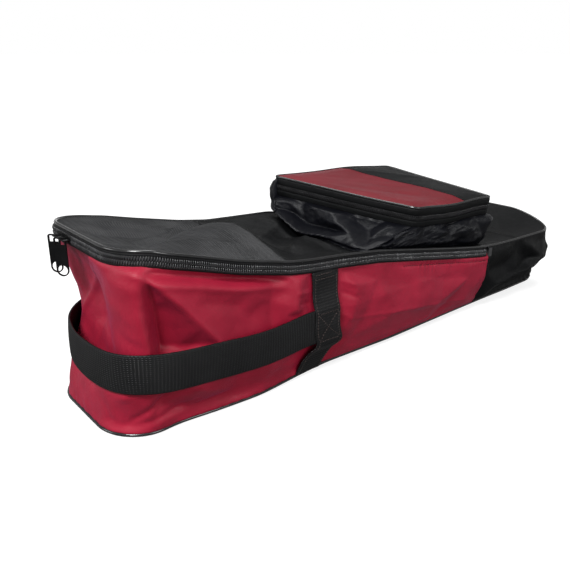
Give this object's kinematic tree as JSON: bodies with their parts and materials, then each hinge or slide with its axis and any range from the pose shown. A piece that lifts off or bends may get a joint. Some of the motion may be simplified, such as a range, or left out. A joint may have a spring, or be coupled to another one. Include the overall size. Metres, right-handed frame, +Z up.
{
  "type": "zipped sports gear bag",
  "caption": "Long low soft bag with a sloping zipped lid hinged at its shallow end, a raised zipped pocket on the lid, side straps and a webbing handle round the deep end.",
  "frame": {"origin": "bottom centre of the whole object's box, on the ground", "axes": "+X along the length towards the shallow far end, +Z up, -Y the red side with the visible side strap"},
  "size_m": [0.7222, 0.1964, 0.1861],
  "materials": {
    "red_fabric": "wine red woven nylon with a semi-sheen",
    "black_fabric": "plain black woven polyester",
    "ribbed_fabric": "black ribbed woven polyester",
    "thin_nylon": "thin glossy black nylon, crumpled",
    "webbing": "ribbed black polypropylene webbing",
    "piping": "glossy black covered piping",
    "binding": "black woven seam binding",
    "zip_tape": "black woven zipper tape",
    "zip_coil": "black nylon coil",
    "zip_metal": "black painted die-cast zinc",
    "stiffener": "hidden stiffening board"
  },
  "bodies": {
    "bag": {"base_panel": "black_fabric", "base_board": "stiffener", "base_piping": "piping", "near_wall": "red_fabric", "front_wall": "red_fabric", "back_wall": "red_fabric", "far_wall": "black_fabric", "seam_binding_front": "binding", "seam_binding_back": "binding", "side_strap_front": "webbing", "side_strap_back": "webbing", "hinge_panel": "black_fabric", "far_cross_seam": "black_fabric", "far_top_panel": "black_fabric", "far_top_piping": "piping", "zip_tape_body": "zip_tape", "zip_coil_body": "zip_coil", "zip_stop_front": "zip_tape", "zip_stop_back": "zip_tape"},
    "lid": {"lid_near_panel": "ribbed_fabric", "lid_middle_panel": "black_fabric", "lid_cross_seam": "black_fabric", "lid_piping": "piping", "zip_tape_lid": "zip_tape", "zip_coil_lid": "zip_coil", "pocket_gusset": "thin_nylon", "pocket_back": "thin_nylon", "pocket_lower_band": "binding", "pocket_zip_tape_lower": "zip_tape", "pocket_coil_lower": "zip_coil"},
    "pocket_flap": {"flap_red_panel": "red_fabric", "flap_black_panel": "black_fabric", "flap_piping": "piping", "flap_upper_band": "binding", "pocket_zip_tape_upper": "zip_tape", "pocket_coil_upper": "zip_coil"},
    "front_slider_body": {"slider_front": "zip_metal"},
    "front_pull_body": {"pull_front": "zip_metal"},
    "back_slider_body": {"slider_back": "zip_metal"},
    "back_pull_body": {"pull_back": "zip_metal"},
    "pocket_slider_body": {"pocket_slider": "zip_metal"},
    "pocket_pull_body": {"pocket_pull": "zip_metal"},
    "handle": {"end_handle": "webbing"}
  },
  "joints": [
    {"name": "lid_hinge", "type": "hinge", "parent": "bag", "child": "lid", "pos_m": [0.17762, 0, 0.09783], "axis": [0, 1, 0], "range_deg": [0, 50]},
    {"name": "flap_hinge", "type": "hinge", "parent": "lid", "child": "pocket_flap", "pos_m": [0.07112, 0.084, 0.18252], "axis": [-1, 0, 0], "range_deg": [0, 110]},
    {"name": "front_slider_slide", "type": "slide", "parent": "bag", "child": "front_slider_body", "axis": [0, -1, 0], "range_m": [0, 0.054]},
    {"name": "front_pull_swing", "type": "hinge", "parent": "front_slider_body", "child": "front_pull_body", "pos_m": [-0.34998, 0.0167, 0.17511], "axis": [0, 1, 0], "range_deg": [0, 115]},
    {"name": "back_slider_slide", "type": "slide", "parent": "bag", "child": "back_slider_body", "axis": [0, 1, 0], "range_m": [0, 0.006]},
    {"name": "back_pull_swing", "type": "hinge", "parent": "back_slider_body", "child": "back_pull_body", "pos_m": [-0.34998, 0.0313, 0.17511], "axis": [0, 1, 0], "range_deg": [0, 115]},
    {"name": "pocket_slider_slide", "type": "slide", "parent": "lid", "child": "pocket_slider_body", "axis": [0, 0.989, 0.1478], "range_m": [-0.095, 0.014]},
    {"name": "pocket_pull_swing", "type": "hinge", "parent": "pocket_slider_body", "child": "pocket_pull_body", "pos_m": [0.17642, 0.04163, 0.16557], "axis": [0, -0.989, -0.1478], "range_deg": [0, 105]},
    {"name": "handle_swing", "type": "hinge", "parent": "bag", "child": "handle", "pos_m": [-0.11638, 0, 0.063], "axis": [0, 1, 0], "range_deg": [-12, 6]}
  ]
}
